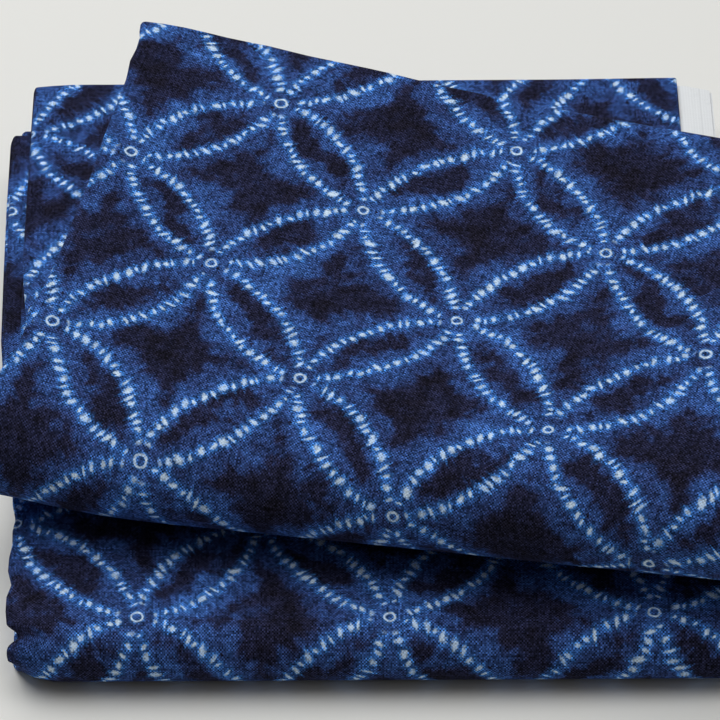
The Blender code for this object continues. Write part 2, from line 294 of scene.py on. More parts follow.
def leaf_row(leaf, share):
    """A row of points across a leaf, at a share of the way from its back to its front."""
    if leaf == SHARED_LEAF:
        return shared_leaf_row(share)
    back, front = leaf_size(leaf, "back"), leaf_size(leaf, "front")
    side = ease(share)
    left = leaf_size(leaf, "left_back") * (1.0 - side) + leaf_size(leaf, "left_front") * side
    right = leaf_size(leaf, "right_back") * (1.0 - side) + leaf_size(leaf, "right_front") * side
    left += left_wander(leaf, back + (front - back) * share)
    across = across_of(left, right)
    z = np.full(across.shape, leaf_height(leaf))
    if leaf > SHARED_LEAF:
        back = back - wander(UPPER_BACK_WANDER, across)
    if leaf < SHARED_LEAF:
        along = np.full(across.shape, back + (front - back) * share)
    elif leaf == TOP_LEAF:
        along = back + (front_line(across) - DROOP_AHEAD - back) * share
    else:
        along = back + (front + INNER_SKEW * across - back) * share
        behind = np.maximum(front_line(across) - along, INNER_REACH)
        height = (leaf - SHARED_LEAF) / (TOP_LEAF - SHARED_LEAF)
        z += front_lift(behind) * (1.0 - height) - front_sink(behind) * height
    return np.column_stack([plan_point(across, along, leaf > SHARED_LEAF), z])


def shared_leaf_row(share):
    """A row of the leaf that leaves the lower pack's lines for the upper one's."""
    low = across_of(leaf_size(SHARED_LEAF, "left_back"), leaf_size(SHARED_LEAF, "right_back"))
    high = across_of(leaf_size(SHARED_LEAF, "left_front"), leaf_size(SHARED_LEAF, "right_front"))
    end = plan_point(high, under_end(high), True)
    end_along = pack_lines(end, False)[1]
    back = leaf_size(SHARED_LEAF, "back")
    straight = plan_point(low, back + (end_along - back) * share, False)
    turned = ease((share - SHARED_TURN_FROM) / (1.0 - SHARED_TURN_FROM))
    xy = straight + (end - plan_point(low, end_along, False)) * turned
    return np.column_stack([xy, np.full(low.shape, leaf_height(SHARED_LEAF))])


def round_fold(first, second, outward, steps):
    """Rows round a fold, from the end of one leaf to the start of the next."""
    middle = (first + second) / 2.0
    half = (first - second) / 2.0
    radius = np.linalg.norm(half, axis=1, keepdims=True)
    return [middle + half * np.cos(angle) + outward * radius * np.sin(angle)
            for angle in np.linspace(0.0, np.pi, steps + 1)[1:-1]]


def nose_rows():
    """Rows round the upper pack's front, from its underside up to where the top leaf is level."""
    left, right = leaf_size(TOP_LEAF, "left_front"), leaf_size(TOP_LEAF, "right_front")
    across = across_of(left, right)
    rows = []
    for share in np.linspace(0.0, 1.0, UNDER_STEPS + 1)[1:]:
        along = under_end(across) + UNDER_LENGTH * share
        z = leaf_height(SHARED_LEAF) + front_lift(front_line(across) - along)
        rows.append(np.column_stack([plan_point(across, along, True), z]))
    for forward, down in (DROOP + NOSE[:-1])[::-1]:
        moved = left_wander(TOP_LEAF, leaf_size(TOP_LEAF, "front") + forward)
        across = across_of(left + moved * (down < DROOP_DOWN), right)
        along = front_line(across) - DROOP_AHEAD + forward
        z = np.full(across.shape, leaf_height(TOP_LEAF) - down)
        rows.append(np.column_stack([plan_point(across, along, True), z]))
    return rows


def fold_rows(leaf, following, forward):
    """The rows between two leaves that follow each other."""
    if (leaf, following) == (SHARED_LEAF, TOP_LEAF):
        return nose_rows()
    at = 1.0 if forward else 0.0
    turn = UPPER_TURN if min(leaf, following) > SHARED_LEAF else LOWER_TURN
    to_front = np.array([np.sin(turn), -np.cos(turn), 0.0])
    outward = to_front if forward else -to_front
    steps = WIDE_FOLD_STEPS if (leaf, following) == (BOTTOM_LEAF, LOWER_WRAP) else TIGHT_FOLD_STEPS
    return round_fold(leaf_row(leaf, at), leaf_row(following, at), outward, steps)


def strip_rows():
    """Every row of the strip, and the numbers of the rows at each leaf's back and front."""
    rows, ends = [], {}
    forward = False
    for leaf, following in zip(ORDER, ORDER[1:] + (None,)):
        usual = LOWER_LEAF_STEPS if leaf < SHARED_LEAF else UPPER_LEAF_STEPS
        shares = np.linspace(0.0, 1.0, LEAF_STEPS.get(leaf, usual) + 1)
        first = len(rows)
        rows += [leaf_row(leaf, share) for share in (shares if forward else shares[::-1])]
        last = len(rows) - 1
        ends[leaf] = (first, last) if forward else (last, first)
        if following is not None:
            rows += fold_rows(leaf, following, forward)
        forward = not forward
    return np.array(rows), ends


strip, leaf_ends = strip_rows()
print("rows and columns of the strip:", strip.shape[:2])

# %% [markdown]
# ## Soft swells
#
# A stack of cloth isn't level. The folded edges of the plies build up at the sides, the
# middle sinks, and the front left corner has slumped. Each swell or dip is a soft round
# bump, strongest at the top of its pack and fading out towards the bottom.

# %% Settle the packs
SWELL_COLUMNS = ("across", "along", "height", "wide", "long")
LOWER_SWELLS = (
    (-0.128, 0.080, 0.0012, 0.030, 0.120),
    (0.128, 0.120, 0.0014, 0.032, 0.140),
)
UPPER_SWELLS = (
    (-0.136, 0.060, 0.0060, 0.026, 0.120),
    (0.134, 0.085, 0.0065, 0.028, 0.090),
    (0.005, 0.095, -0.0033, 0.055, 0.062),
    (-0.090, 0.228, -0.0052, 0.095, 0.052),
)


LOWER_CORNERS = (         # the lower pack's top back corner on the left hangs down
    (-0.132, 0.000, -0.0024, 0.012, 0.020),
    (-0.125, -0.005, -0.0024, 0.080, 0.050),
)


def swell(xy, upper, rows):
    """The height of a pack's soft swells at plan places."""
    across, along = pack_lines(xy, upper)
    height = np.zeros(across.shape)
    for row in rows:
        size = dict(zip(SWELL_COLUMNS, row))
        aside = (across - size["across"]) / size["wide"]
        ahead = (along - size["along"]) / size["long"]
        height += size["height"] * np.exp(-aside ** 2 - ahead ** 2)
    return height


def settle(points):
    """Raise or lower points by the swells of the packs, less and less towards each bottom."""
    xy = points[..., :2]
    z = points[..., 2]
    lower_depth = leaf_height(SHARED_LEAF) - leaf_height(BOTTOM_LEAF)
    low_share = np.clip((z - leaf_height(BOTTOM_LEAF)) / lower_depth, 0.0, 1.0)
    high_share = np.clip((z - leaf_height(SHARED_LEAF)) / UPPER_DEPTH, 0.0, 1.0)
    settled = points.copy()
    settled[..., 2] += swell(xy, False, LOWER_SWELLS) * low_share
    top_leaf_only = low_share ** 6 * (1.0 - ease(high_share * 12.0))
    settled[..., 2] += swell(xy, False, LOWER_CORNERS) * top_leaf_only
    settled[..., 2] += swell(xy, True, UPPER_SWELLS) * high_share
    return settled


def outer_normals(points):
    """The direction out of the strip's outer side at every point."""
    along = np.gradient(points, axis=0)
    across = np.gradient(points, axis=1)
    normals = np.cross(across, along)
    return normals / np.linalg.norm(normals, axis=2, keepdims=True)


strip = settle(strip)
strip_normals = outer_normals(strip)
strip_length = np.concatenate([
    np.zeros((1, len(WIDTH_SHARES))),
    np.cumsum(np.linalg.norm(np.diff(strip, axis=0), axis=2), axis=0)])
print("length of the cloth:", np.round(strip_length[-1, [1, 28, 51]], 3).tolist(), "m")

# %% [markdown]
# ## Four plies
#
# Across the strip the cloth goes back and forth too. It starts at one woven edge, sticking
# out on the right, runs left over the top of the strip, round the left fold, back under
# everything, round a small fold on the right, left again, round the inner left fold, and out
# to the right to its other woven edge. So each row of the cloth is that flat spiral, drawn on
# the strip's row, with every ply lifted off the middle by its own height.

# %% Columns of the cloth
PLY_LIFTS = (0.45 * LEAF, 0.15 * LEAF, -0.15 * LEAF, -0.45 * LEAF)
OUTER_COLUMNS, INNER_COLUMNS = 34, 10
LEFT_ROUND, INNER_ROUND, RIGHT_ROUND = 0.0014, 0.0011, 0.0009


def fold_arc(share, shift, top, bottom, reach, steps):
    """Columns round a fold of plies: each is a width share, a shift to the right and a lift."""
    middle, half = (top + bottom) / 2.0, (top - bottom) / 2.0
    return [(share, shift + reach * np.sin(angle), middle + half * np.cos(angle))
            for angle in np.linspace(0.0, np.pi, steps + 1)]


def ply_columns():
    """Every column of the cloth, from one woven edge to the other."""
    outer_share = np.linspace(0.0, 1.0, OUTER_COLUMNS)[1:-1]
    inner_share = np.linspace(0.0, 1.0, INNER_COLUMNS)[1:-1]
    first, second, third, fourth = PLY_LIFTS
    columns = [(1.0, LIP, first), (1.0, LIP * 0.6, first), (1.0, LIP * 0.25, first)]
    columns += [(share, 0.0, first) for share in outer_share[::-1]]
    columns += fold_arc(0.0, LEFT_ROUND, first, fourth, -LEFT_ROUND, 8)
    columns += [(share, 0.0, fourth) for share in outer_share]
    columns += fold_arc(1.0, -RIGHT_ROUND, fourth, third, RIGHT_ROUND, 4)
    columns += [(share, 0.0, third) for share in inner_share[::-1]]
    inner_left = LEFT_ROUND + INNER_ROUND
    columns += fold_arc(0.0, inner_left, third, second, -INNER_ROUND, 4)
    columns += [(share, 0.0, second) for share in inner_share]
    columns += [(1.0, LIP * 0.25, second), (1.0, LIP * 0.93, second)]
    return np.array(columns).T


PLY_SHARE, PLY_SHIFT, PLY_LIFT = ply_columns()


def on_plies(values):
    """Values of the strip's columns, read off at every column of the cloth."""
    widths = np.linalg.norm(strip[:, -1] - strip[:, 0], axis=1)
    span = WIDTH_SHARES[-1] - WIDTH_SHARES[0]
    share = PLY_SHARE[None, :] + PLY_SHIFT[None, :] / (widths[:, None] / span)
    place = (share - WIDTH_SHARES[0]) / span * (len(WIDTH_SHARES) - 1)
    low = np.clip(place.astype(int), 0, len(WIDTH_SHARES) - 2)
    part = place - low
    rows = np.arange(len(values))[:, None]
    if values.ndim == 3:
        part = part[..., None]
    return values[rows, low] * (1.0 - part) + values[rows, low + 1] * part


ply_normals = on_plies(strip_normals)
cloth_points = on_plies(strip) + ply_normals * PLY_LIFT[None, :, None]
print("rows and columns of the cloth:", cloth_points.shape[:2])

# %% [markdown]
# ## The puckered edge
#
# Where the strip wraps the lower pack's front, the left fold of the plies isn't straight. It
# has a few uneven notches, left from the stitching that gathered the cloth for dyeing. Each
# one pulls the edge in and dips the cloth beside it, and fades out a centimetre away.

# %% Pucker the left edge
NOTCH_COLUMNS = ("along", "depth", "long")
NOTCHES = (
    (0.2350, 0.0016, 0.0060),
    (0.2470, 0.0010, 0.0045),
    (0.2655, 0.0017, 0.0022),
    (0.2915, 0.0054, 0.0040),
    (0.3080, 0.0012, 0.0040),
)
NOTCH_REACH = 0.010


def pucker(points):
    """Move the points near the left edge of the leaf that wraps the lower pack's front."""
    back, front = leaf_ends[LOWER_WRAP]
    along = leaf_size(LOWER_WRAP, "front") + (strip_length[front, 1] - strip_length[:, 1])
    from_edge = (PLY_SHARE * 0.265 + PLY_SHIFT)[None, :]
    reach = np.exp(-(from_edge / NOTCH_REACH) ** 2)
    moved = points.copy()
    for row in NOTCHES:
        size = dict(zip(NOTCH_COLUMNS, row))
        notch = size["depth"] * np.exp(-((along - size["along"]) / size["long"]) ** 2)
        moved[..., 0] += notch[:, None] * reach
        moved -= ply_normals * (0.35 * notch[:, None] * reach)[..., None]
    return moved


cloth_points = pucker(cloth_points)

# %% [markdown]
# ## The loose ends of the folds
#
# A folded edge is stiff in the middle and soft at its ends. The white woven edges are only two
# plies thick, so they hang a little lower than the strip, and their back end lies a few
# millimetres in front of the thick fold beside them. The left end of the wide front fold is
# rounded off in the same way.

# %% Soften the loose ends
LIP_DROP, LIP_BACK = 0.0010, 0.0042
CORNER_BACK, CORNER_LIFT, CORNER_IN, CORNER_REACH = 0.0040, 0.0022, 0.0026, 0.0080


def soften_ends(points):
    """Let the woven edges hang, and round the left end of the wide front fold."""
    moved = points.copy()
    hanging = np.clip(PLY_SHIFT / LIP, 0.0, 1.0) * (PLY_SHARE == 1.0)
    along = pack_lines(points[..., :2], False)[1]
    near_back = np.exp(-(np.maximum(along, 0.0) / 0.012) ** 2)
    above = np.clip(points[..., 2] / 0.010, 0.0, 1.0)
    moved[..., 2] -= LIP_DROP * hanging[None, :] * above
    moved[..., 1] -= LIP_BACK * np.sqrt(hanging)[None, :] * near_back
    from_edge = (PLY_SHARE * 0.265 + PLY_SHIFT)[None, :]
    corner = np.exp(-(from_edge / CORNER_REACH) ** 2)
    ahead = ease((along - (leaf_size(LOWER_WRAP, "front") - 0.004)) / 0.016)
    moved[..., 1] += CORNER_BACK * corner * ahead
    moved[..., 2] += CORNER_LIFT * corner * ahead * (points[..., 2] < 0.014)
    moved[..., 0] += CORNER_IN * corner * ahead * ease((0.012 - points[..., 2]) / 0.010)
    return moved


cloth_points = soften_ends(cloth_points)

# %% [markdown]
# ## A map of the flat cloth
#
# The dyer's pattern was stitched on the flat cloth, so it has to follow the cloth round its
# folds. For that the mesh gets a UV map in metres of cloth: U across it and V along it. The
# hand folds wandered on the cloth, and three stretches show. Each row of the table says
# where the pattern lies on one of them, and the map slides gently from one to the next where
# nobody can see it.

# %% Where each point lies on the flat cloth
# For each stretch that shows: the leaf whose back row it is measured from, V at that row, U at
# the left, middle and right of the outer ply, and the share of the way along the leaf before,
# where its map begins and where it holds in full
STRETCH_COLUMNS = ("leaf", "v", "u_left", "u_middle", "u_right", "begins", "holds")
STRETCHES = (
    (LOWER_WRAP, -0.2342, -0.0010, 0.1314, 0.2587, None, None),
    (SHARED_LEAF, 0.0289, 0.0012, 0.1329, 0.2654, 0.70, 0.15),
    (TOP_LEAF, -0.0712, -0.0152, 0.1194, 0.2540, 0.65, 1.00),
)
NODE_STEP = 0.0464        # half the pattern's repeat

# Each crossing of the pattern that was stitched off its true place: where it lies on the flat
# cloth in steps, and how far off in millimetres. The cloth between follows softly.
STRAY_COLUMNS = ("step_u", "step_v", "off_u", "off_v")
STRAYS = (
    (0, -14, 0.6, -0.5), (1, -15, 0.6, 0.4), (0, -12, -2.4, -1.9), (1, -13, -1.9, -1.5),
    (2, -14, -1.6, 0.8), (3, -15, 0.4, 0.9), (1, -11, -0.7, 1.0), (2, -12, -1.8, -0.7),
    (3, -13, -1.2, 1.0), (4, -14, -2.0, 0.0), (3, -11, -2.3, 0.2), (4, -12, -2.8, 1.0),
    (5, -13, -2.6, -0.6), (5, -11, -5.1, -1.2),
    (1, 1, 1.3, -0.9), (3, 1, -0.2, -0.3), (5, 1, -0.2, -1.8),
)
STRAY_REACH = 0.033


def edge_moved():
    """How far in the strip's left edge has wandered, row by row, on the top leaf."""
    moved = np.zeros(len(strip))
    back, front = leaf_ends[TOP_LEAF]
    first, last = min(back, front), max(back, front)
    along = np.linspace(leaf_size(TOP_LEAF, "front"), leaf_size(TOP_LEAF, "back"), last - first + 1)
    moved[first:last + 1] = left_wander(TOP_LEAF, along)
    before = np.arange(max(first - 12, 0), first)
    moved[before] = moved[first] * (before - before[0]) / len(before)
    return moved


def stretch_map(row):
    """U and V all over the cloth, as one stretch's row of the table gives them."""
    size = dict(zip(STRETCH_COLUMNS, row))
    half = size["u_middle"] - size["u_left"]
    whole = size["u_right"] - size["u_left"]
    bend = 2.0 * whole - 4.0 * half
    moved = edge_moved()[:, None]
    lateral = ((whole - moved) * PLY_SHARE + bend * PLY_SHARE * (PLY_SHARE - 1.0) + PLY_SHIFT)
    step = np.hypot(np.diff(lateral, axis=1), np.diff(PLY_LIFT))
    from_start = np.concatenate([np.zeros((len(strip), 1)), np.cumsum(step, axis=1)], axis=1)
    u = size["u_left"] + moved + lateral[:, :1] - from_start
    back_row = leaf_ends[size["leaf"]][0]
    v = size["v"] + strip_length[back_row] - strip_length
    if size["leaf"] == TOP_LEAF:
        v = v - wander(UPPER_BACK_WANDER, across_of(leaf_size(TOP_LEAF, "left_back"),
                                                    leaf_size(TOP_LEAF, "right_back")))
    return u, on_plies(v), from_start


def blended_map():
    """U and V, and the distance from the nearest woven edge."""
    u, v, from_start = stretch_map(STRETCHES[0])
    rows = np.arange(len(strip))
    for row in STRETCHES[1:]:
        size = dict(zip(STRETCH_COLUMNS, row))
        next_u, next_v, _ = stretch_map(row)
        over = LOWER_WRAP if size["leaf"] == SHARED_LEAF else SHARED_LEAF
        back, front = leaf_ends[over]
        begins = back + (front - back) * size["begins"]
        holds = back + (front - back) * size["holds"]
        weight = ease((rows - begins) / (holds - begins))[:, None]
        middle = int((begins + holds) / 2)
        gap = (next_v - v)[middle].mean()
        next_v = next_v - round(gap / (2 * NODE_STEP)) * 2 * NODE_STEP
        u = u + (next_u - u) * weight
        v = v + (next_v - v) * weight
    moved_u, moved_v = np.zeros(u.shape), np.zeros(v.shape)
    for row in STRAYS:
        size = dict(zip(STRAY_COLUMNS, row))
        off_u, off_v = size["off_u"] / 1000, size["off_v"] / 1000
        near_u = u - size["step_u"] * NODE_STEP - off_u
        near_v = v - size["step_v"] * NODE_STEP - off_v
        near = np.exp(-(near_u ** 2 + near_v ** 2) / STRAY_REACH ** 2)
        moved_u -= off_u * near
        moved_v -= off_v * near
    to_edge = np.minimum(from_start, from_start[:, -1:] - from_start)
    return u + moved_u, v + moved_v, to_edge, from_start[:, -1].mean()


cloth_u, cloth_v, cloth_to_edge, cloth_width = blended_map()
print("width of the flat cloth:", round(cloth_width, 3), "m")

# %% [markdown]
# ## A map for a picture of the cloth
#
# Whoever needs the cloth's colours as one flat picture has to spread the cloth out on it. The
# grid does that by itself, so a second map takes each column's and row's place on a square. The
# hidden plies and leaves get little room there, so that the dashes which show stay sharp.

# %% Places of the rows and columns on a square
COLUMN_ROOM = {"outer": 1.0, "under": 0.45, "hidden": 0.1}
ROW_ROOM = 0.15
SHOWN_ROWS = (
    (leaf_ends[BOTTOM_LEAF][0], leaf_ends[BOTTOM_LEAF][1], 0.3),
    (leaf_ends[BOTTOM_LEAF][1], leaf_ends[LOWER_WRAP][1], 1.0),
    (leaf_ends[LOWER_WRAP][1], leaf_ends[LOWER_WRAP][0], 0.8),
    (leaf_ends[SHARED_LEAF][0], leaf_ends[SHARED_LEAF][1], 0.6),
    (leaf_ends[SHARED_LEAF][1], leaf_ends[TOP_LEAF][1], 1.0),
    (leaf_ends[TOP_LEAF][1], leaf_ends[TOP_LEAF][0], 1.0),
)


def spread(lengths, room):
    """Places from 0 to 1 for points with these lengths between them, each given its room."""
    places = np.concatenate([[0.0], np.cumsum(lengths * room)])
    return 0.002 + 0.996 * places / places[-1]


def square_places():
    """Where every column and every row lies on the square."""
    middle_lift = (PLY_LIFT[1:] + PLY_LIFT[:-1]) / 2.0
    column_room = np.full(len(middle_lift), COLUMN_ROOM["hidden"])
    fourth_ends = int(np.nonzero(PLY_LIFT == PLY_LIFTS[3])[0][-1])
    column_room[:fourth_ends] = COLUMN_ROOM["outer"]
    column_room[middle_lift <= PLY_LIFTS[3] + 1e-6] = COLUMN_ROOM["under"]
    column_length = np.hypot(np.diff(PLY_SHARE * 0.265 + PLY_SHIFT), np.diff(PLY_LIFT))
    row_length = np.linalg.norm(np.diff(strip[:, len(WIDTH_SHARES) // 2], axis=0), axis=1)
    row_room = np.full(len(row_length), ROW_ROOM)
    for first, last, room in SHOWN_ROWS:
        row_room[min(first, last):max(first, last)] = room
    return spread(column_length, column_room), spread(row_length, row_room)


square_u, square_v = np.meshgrid(*square_places())
print("the outer ply takes", round(float(square_u[0, OUTER_COLUMNS]), 2), "of the square's width")

# %% [markdown]
# ## The cloth
#
# A flat grid primitive is added with as many rows and columns as the cloth, and each of its
# points is put where the folding takes it. The grid's own order gives each point's row and
# column, and the same numbers fill the UV map.

# %% Make the cloth
def add_cloth():
    """The grid, folded, with its map of the flat cloth."""
    row_count, column_count = cloth_points.shape[:2]
    bpy.ops.object.select_all(action="DESELECT")
    bpy.ops.mesh.primitive_grid_add(x_subdivisions=column_count - 1, y_subdivisions=row_count - 1,
                                    size=2.0, location=(0.0, 0.0, 0.0))
    cloth = bpy.context.object
    cloth.name = "cotton_length"
    mesh = cloth.data
    mesh.name = "cotton_length"
    flat = np.empty(len(mesh.vertices) * 3)
    mesh.vertices.foreach_get("co", flat)
    flat = flat.reshape(-1, 3)
    column = np.rint((1.0 - flat[:, 0]) / 2.0 * (column_count - 1)).astype(int)
    row = np.rint((flat[:, 1] + 1.0) / 2.0 * (row_count - 1)).astype(int)
    mesh.vertices.foreach_set("co", cloth_points[row, column].ravel())
    corner_vertex = np.empty(len(mesh.loops), dtype=np.int32)
    mesh.loops.foreach_get("vertex_index", corner_vertex)
    while mesh.uv_layers:
        mesh.uv_layers.remove(mesh.uv_layers[0])
    maps = (("cloth", (cloth_u, cloth_v)), ("edge", (cloth_to_edge, cloth_v)),
            ("OFBake", (square_u, square_v)))
    for name, values in maps:
        layer = mesh.uv_layers.new(name=name)
        pairs = np.stack([value[row, column] for value in values], axis=-1)
        layer.uv.foreach_set("vector", pairs[corner_vertex].ravel())
    mesh.update()
    bpy.ops.object.shade_smooth()
    return cloth


cloth = add_cloth()
lift = min(vertex.co.z for vertex in cloth.data.vertices)
print("triangles:", 2 * len(cloth.data.polygons), "lowest point", round(lift * 1000, 2), "mm")

# %% [markdown]
# ## Shader maths as plain sums
#
# A dyed pattern takes many small steps of arithmetic. Written as nodes by hand they are hard
# to read, so a small class wraps a socket and lets plus, minus and times add the Math nodes.

# %% A socket with arithmetic
class Wire:
    """A socket of the material that is being made. Arithmetic on it adds Math nodes."""
    tree = None

    def __init__(self, socket):
        self.socket = socket

    @classmethod
    def node(cls, kind, settings=(), inputs=(), output=0):
        """Adds a node of any kind: its settings first, then its values or links."""
        made = cls.tree.nodes.new(kind)
        for name, value in dict(settings).items():
            if name == "stops":
                elements = made.color_ramp.elements
                while len(elements) < len(value):
                    elements.new(1.0)
                for element, (place, colour) in zip(elements, value):
                    element.position, element.color = place, colour
            else:
                setattr(made, name, value)
        for name, value in dict(inputs).items():
            if isinstance(value, Wire):
                cls.tree.links.new(value.socket, made.inputs[name])
            else:
                made.inputs[name].default_value = value
        return cls(made.outputs[output])

    def output(self, index):
        """Another output of the node that this socket is on."""
        return Wire(self.socket.node.outputs[index])

    def math(self, operation, *others):
        values = dict(enumerate((self,) + others))
        return Wire.node("ShaderNodeMath", {"operation": operation}, values)

    def __add__(self, other):
        return self.math("ADD", other)

    __radd__ = __add__

    def __sub__(self, other):
        return self.math("SUBTRACT", other)

    def __rsub__(self, other):
        return (self * -1.0) + other

    def __mul__(self, other):
        return self.math("MULTIPLY", other)

    __rmul__ = __mul__

    def __truediv__(self, other):
        return self.math("DIVIDE", other)

    def floor(self):
        return self.math("FLOOR")

    def size(self):
        return self.math("ABSOLUTE")

    def most(self, other):
        return self.math("MAXIMUM", other)

    def step(self, low, high):
        """A smooth step that is 0 at low and 1 at high, which may be the smaller one."""
        if low > high:
            return 1.0 - self.step(high, low)
        return Wire.node("ShaderNodeMapRange", {"interpolation_type": "SMOOTHSTEP"},
                         {"Value": self, "From Min": low, "From Max": high})


# %% [markdown]
# A few more helpers name the nodes that the cotton needs again and again: a vector from three
# numbers, soft noise, chance numbers for one stitch, the distance from a point, and a mix of
# two colours. Colours are written as they look on a screen, so they can be compared by eye.

# %% Helpers for the cotton
def vector(x, y, z=0.0):
    return Wire.node("ShaderNodeCombineXYZ", (), {"X": x, "Y": y, "Z": z})


def noise(where, scale, detail=2.0, seed=0.0):
    """Soft noise around 0, with about so many waves in a metre."""
    return Wire.node("ShaderNodeTexNoise", {"noise_dimensions": "4D"},
                     {"Vector": where, "W": seed, "Scale": scale, "Detail": detail}) - 0.5


def chances(name):
    """Three chance numbers from 0 to 1 that stay the same for one name."""
    colour = Wire.node("ShaderNodeTexWhiteNoise", {"noise_dimensions": "3D"}, {"Vector": name}, 1)
    parts = Wire.node("ShaderNodeSeparateColor", (), {"Color": colour})
    return parts, parts.output(1), parts.output(2)


def distance(x, y):
    return (x * x + y * y).math("SQRT")


def mix_colour(amount, first, second, blend="MIX"):
    return Wire.node("ShaderNodeMix", {"data_type": "RGBA", "blend_type": blend},
                     {0: amount, 6: first, 7: second}, 2)


def grey(amount):
    """The same amount of red, green and blue."""
    return Wire.node("ShaderNodeCombineColor", (), {"Red": amount, "Green": amount, "Blue": amount})


def paint(red, green, blue):
    """A colour, from how it looks on a screen."""
    values = [c / 255.0 for c in (red, green, blue)]
    linear = [c / 12.92 if c <= 0.04045 else ((c + 0.055) / 1.055) ** 2.4 for c in values]
    return (*linear, 1.0)


# %% [markdown]
# ## The stitch-resist pattern
#
# The cloth was folded and stitched along curves before it went into the indigo. Where a
# stitch pinched it, a short white dash was kept, with a halo of lighter blue, and the dashes
# run in arcs. The arcs cross in a square net turned by 45 degrees to the cloth's edges, with
# a small tied ring at each crossing. Four thin petals reach out of a ring to its neighbours.
# It is an old pattern of linked circles, drawn here from its geometry alone. Every petal is
# a little wider or thinner than the next, and every dash has its own length, thickness and
# slant, because each was made by hand.

# %% One family of petals
PETAL = 65.6              # millimetres from one ring to the next
PETAL_HALF = (8.6, 11.4)  # half of a petal's greatest width, at least and at most
STITCH = 3.75             # from one dash to the next
ARC_HALF_LENGTH = 30.0    # the dashes stop short of the rings


def stitched_arcs(steps_along, steps_beside, seed, fray):
    """The marks of the petals that lie one way: cores, halos, streaks, the soft band along
    them, the distance off their arcs, and soft chance numbers for fingers beside them."""
    cell, row = steps_along.floor(), (steps_beside + 0.5).floor()
    x = (steps_along - cell - 0.5) * PETAL
    beside = (steps_beside - row) * PETAL
    side = beside.math("SIGN")
    petal, unused, also_unused = chances(vector(cell + side * 0.31, row + seed, 0.5))
    half = petal * (PETAL_HALF[1] - PETAL_HALF[0]) + PETAL_HALF[0]
    radius = (half * half + (PETAL / 2) ** 2) / (half * 2.0)
    y = beside.size() + radius - half
    off = distance(x, y) - radius
    on = x.math("ARCTAN2", y) * radius
    uneven = noise(vector(on * 0.17, cell * 7.3 + side * 2.9 + seed, row * 5.1), 1.0, 1.0) * 6.5
    finger = noise(vector(on * 0.27, off * 0.04 + row * 3.7, cell * 5.3 + side + seed), 1.0, 3.0)
    stitched = on + uneven
    stitch = (stitched / STITCH).floor()
    red, green, blue = chances(vector(cell + side * 0.31, row + seed, stitch))
    across_dash = stitched - (stitch + 0.5) * STITCH + (red - 0.5) * 0.9 + off * (green - 0.5) * 0.9
    along_dash = off + (blue - 0.5) * 1.3
    end = (on.size() + red * 3.0).step(ARC_HALF_LENGTH + 2.0, ARC_HALF_LENGTH - 1.0)
    small = (on.size()).step(ARC_HALF_LENGTH + 4.0, ARC_HALF_LENGTH - 8.0) * 0.35 + 0.65

    def spot(thick, long, ragged, outside, inside):
        reach = distance(across_dash / thick, along_dash / long)
        return (reach + fray * ragged).step(outside, inside)

    core = spot((red * 0.8 + 0.60) * small, (green * 1.1 + 1.00) * small, 2.0, 1.25, 0.35)
    halo = spot((red * 0.7 + 1.30) * small, (green * 1.3 + 2.1) * small, 1.5, 1.15, 0.2)
    streak = spot(red * 0.7 + 0.7, green * 3.4 + 2.6, 1.4, 1.1, 0.1)
    band = (off.size() + fray * 3.0).step(3.6, 0.2)
    return core * end * (blue * 0.35 + 0.65), halo * end, streak * end, band * end, off, finger


# %% [markdown]
# ## Indigo cotton
#
# The ground goes from a clear blue through navy to near-black, by a colour ramp. How dark it
# is follows from the pattern: the dye lay thickest in the middle of the stars between the
# petals and inside the petals. Those blotches get ragged edges by pushing the places about
# with noise before their distances are taken. Over them come the streaks, halos, dashes and
# rings. A plain weave of threads about half a millimetre wide lightens and darkens all of it:
# every crossing of two threads took its own share of the dye, which gives the cloth its grain.

# %% The cotton's colours and threads
GROUND = (
    (0.00, paint(62, 102, 170)),
    (0.22, paint(51, 81, 140)),
    (0.45, paint(43, 61, 108)),
    (0.70, paint(34, 37, 63)),
    (1.00, paint(25, 24, 38)),
)
BAND_BLUE = paint(56, 110, 186)
HALO_BLUE = paint(66, 138, 218)
WHITE = paint(212, 232, 250)
UNDYED = paint(229, 232, 234)
THREAD = 0.00060
RING_RADII = (1.45, 2.20)
STAR_REACH = 13.2         # millimetres from a star's middle to the edge of its blotch
INSIDE_LONG, INSIDE_WIDE = 17.0, 5.0


